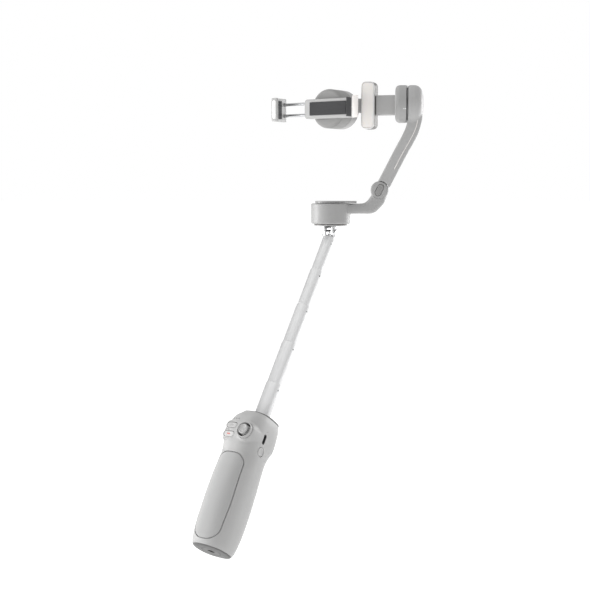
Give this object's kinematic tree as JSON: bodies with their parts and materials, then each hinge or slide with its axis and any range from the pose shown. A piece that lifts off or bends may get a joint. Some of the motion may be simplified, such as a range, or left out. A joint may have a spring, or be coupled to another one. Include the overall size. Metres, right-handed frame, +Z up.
{
  "type": "smartphone gimbal",
  "caption": "Folding camera gimbal for a phone on a telescopic rod, with a grip handle, motor drums, a jointed arm, a fill light and a spring clamp.",
  "frame": {"origin": "the middle of the handle's bottom face, at the mouth of the tripod thread", "axes": "+Z up, with the handle and rod leaning 34.7 degrees from it so that they rise towards +Y; the user faces the phone's screen from -Y; +X is the side of the folding arm"},
  "size_m": [0.1351, 0.2635, 0.4364],
  "materials": {
    "light_grey_plastic": "matte",
    "mid_grey_plastic": "matte",
    "dark_grey_plastic": "matte",
    "soft_grip": "matte",
    "white_diffuser": "satin",
    "rubber": "matte",
    "polished_steel": "polished",
    "steel": "satin",
    "brass": "satin",
    "copper_winding": "satin",
    "motor_magnet": "satin",
    "circuit_board": "satin",
    "cell_wrap": "satin",
    "red_button": "matte"
  },
  "bodies": {
    "handle": {"handle_shell": "light_grey_plastic", "grip_pad": "soft_grip", "handle_top_plate": "mid_grey_plastic", "bottom_cap": "mid_grey_plastic", "tripod_nut": "brass", "rod_guide_tube": "dark_grey_plastic", "battery_cell": "cell_wrap", "main_board": "circuit_board", "joystick_collar": "light_grey_plastic", "led_light_guide": "white_diffuser", "usb_port": "steel", "trigger_pin": "steel"},
    "joystick_ring": {"joystick_ring": "dark_grey_plastic"},
    "joystick_cap": {"joystick_cap": "light_grey_plastic"},
    "mode_button": {"mode_button": "light_grey_plastic"},
    "record_button": {"record_button": "red_button"},
    "power_button": {"power_button": "light_grey_plastic"},
    "trigger": {"trigger": "mid_grey_plastic"},
    "zoom_rocker": {"zoom_rocker": "mid_grey_plastic"},
    "rod_1": {"rod_section_1": "polished_steel"},
    "rod_2": {"rod_section_2": "polished_steel"},
    "rod_3": {"rod_section_3": "polished_steel"},
    "rod_4": {"rod_section_4": "polished_steel"},
    "rod_5": {"rod_section_5": "polished_steel", "rod_tip": "polished_steel"},
    "neck": {"neck_fork": "polished_steel", "pan_base_plate": "light_grey_plastic", "hinge_pin": "steel", "pan_motor_coils": "copper_winding", "pan_motor_bearing": "steel"},
    "pan": {"lower_arm": "light_grey_plastic", "pan_top_cover": "light_grey_plastic", "pan_motor_magnets": "motor_magnet", "fold_pin": "steel"},
    "fold_lock": {"fold_lock_button": "mid_grey_plastic"},
    "upper_arm": {"upper_arm": "light_grey_plastic", "outer_strip": "light_grey_plastic", "tilt_motor_coils": "copper_winding", "tilt_motor_bearing": "steel"},
    "tilt": {"tilt_cap": "light_grey_plastic", "crossbar": "mid_grey_plastic", "tilt_motor_magnets": "motor_magnet", "roll_motor_coils": "copper_winding", "roll_motor_bearing": "steel"},
    "light": {"light_body": "mid_grey_plastic", "light_bezel": "white_diffuser", "light_diffuser": "white_diffuser", "light_board": "circuit_board"},
    "clamp": {"roll_drum": "light_grey_plastic", "clamp_base": "mid_grey_plastic", "right_jaw": "light_grey_plastic", "right_jaw_pad": "rubber", "clamp_back_pad": "rubber", "clamp_spring": "steel", "roll_motor_magnets": "motor_magnet"},
    "slider": {"left_jaw": "light_grey_plastic", "left_jaw_pad": "rubber", "upper_clamp_rail": "steel", "lower_clamp_rail": "steel"}
  },
  "joints": [
    {"name": "rod_slide_1", "type": "slide", "parent": "handle", "child": "rod_1", "axis": [0, 0.5693, 0.8221], "range_m": [-0.035, 0]},
    {"name": "rod_slide_2", "type": "slide", "parent": "rod_1", "child": "rod_2", "axis": [0, 0.5693, 0.8221], "range_m": [-0.0425, 0]},
    {"name": "rod_slide_3", "type": "slide", "parent": "rod_2", "child": "rod_3", "axis": [0, 0.5693, 0.8221], "range_m": [-0.0404, 0]},
    {"name": "rod_slide_4", "type": "slide", "parent": "rod_3", "child": "rod_4", "axis": [0, 0.5693, 0.8221], "range_m": [-0.0387, 0]},
    {"name": "rod_slide_5", "type": "slide", "parent": "rod_4", "child": "rod_5", "axis": [0, 0.5693, 0.8221], "range_m": [-0.0374, 0]},
    {"name": "neck_tilt", "type": "hinge", "parent": "rod_5", "child": "neck", "pos_m": [0, 0.19185, 0.27706], "axis": [1, 0, 0], "range_deg": [-34.7, 25]},
    {"name": "pan_axis", "type": "hinge", "parent": "neck", "child": "pan", "pos_m": [0, 0.19185, 0.29706], "axis": [0, 0, 1], "range_deg": [-150, 150]},
    {"name": "arm_fold", "type": "hinge", "parent": "pan", "child": "upper_arm", "pos_m": [0.04209, 0.21615, 0.32006], "axis": [0.5, -0.866, 0], "range_deg": [0, 75]},
    {"name": "fold_lock", "type": "slide", "parent": "pan", "child": "fold_lock", "axis": [-0.5, 0.866, 0], "range_m": [0, 0.0006], "stiffness_N_per_m": 800},
    {"name": "tilt_axis", "type": "hinge", "parent": "upper_arm", "child": "tilt", "pos_m": [0.0614, 0.2273, 0.40446], "axis": [-0.866, -0.5, 0], "range_deg": [-120, 120]},
    {"name": "fill_light_turn", "type": "hinge", "parent": "tilt", "child": "light", "pos_m": [0.03015, 0.21599, 0.40346], "axis": [0.9511, 0.309, 0], "range_deg": [0, 180]},
    {"name": "roll_axis", "type": "hinge", "parent": "tilt", "child": "clamp", "pos_m": [0.002, 0.19185, 0.39986], "axis": [0, -1, 0], "range_deg": [-160, 40]},
    {"name": "clamp_slide", "type": "slide", "parent": "clamp", "child": "slider", "axis": [-1, 0, 0], "range_m": [-0.026, 0.004], "deforming": ["clamp_spring"]},
    {"name": "joystick_up_down", "type": "hinge", "parent": "handle", "child": "joystick_ring", "pos_m": [0.0092, 0.04549, 0.09889], "axis": [1, 0, 0], "range_deg": [-6.5, 6.5], "stiffness_Nm_per_rad": 0.02},
    {"name": "joystick_left_right", "type": "hinge", "parent": "joystick_ring", "child": "joystick_cap", "pos_m": [0.0092, 0.04549, 0.09889], "axis": [0, 0.5693, 0.8221], "range_deg": [-6.5, 6.5], "stiffness_Nm_per_rad": 0.02},
    {"name": "mode_button_press", "type": "slide", "parent": "handle", "child": "mode_button", "axis": [0, 0.8221, -0.5693], "range_m": [0, 0.0006], "stiffness_N_per_m": 800},
    {"name": "record_button_press", "type": "slide", "parent": "handle", "child": "record_button", "axis": [0, 0.8221, -0.5693], "range_m": [0, 0.0006], "stiffness_N_per_m": 800},
    {"name": "power_button_press", "type": "slide", "parent": "handle", "child": "power_button", "axis": [-1, 0, 0], "range_m": [0, 0.0006], "stiffness_N_per_m": 800},
    {"name": "trigger_pull", "type": "hinge", "parent": "handle", "child": "trigger", "pos_m": [0, 0.07761, 0.0831], "axis": [-1, 0, 0], "range_deg": [0, 8], "stiffness_Nm_per_rad": 0.15},
    {"name": "zoom_rock", "type": "hinge", "parent": "handle", "child": "zoom_rocker", "pos_m": [-0.016, 0.05706, 0.08942], "axis": [0, 0.8221, -0.5693], "range_deg": [-5, 5], "stiffness_Nm_per_rad": 0.1}
  ]
}
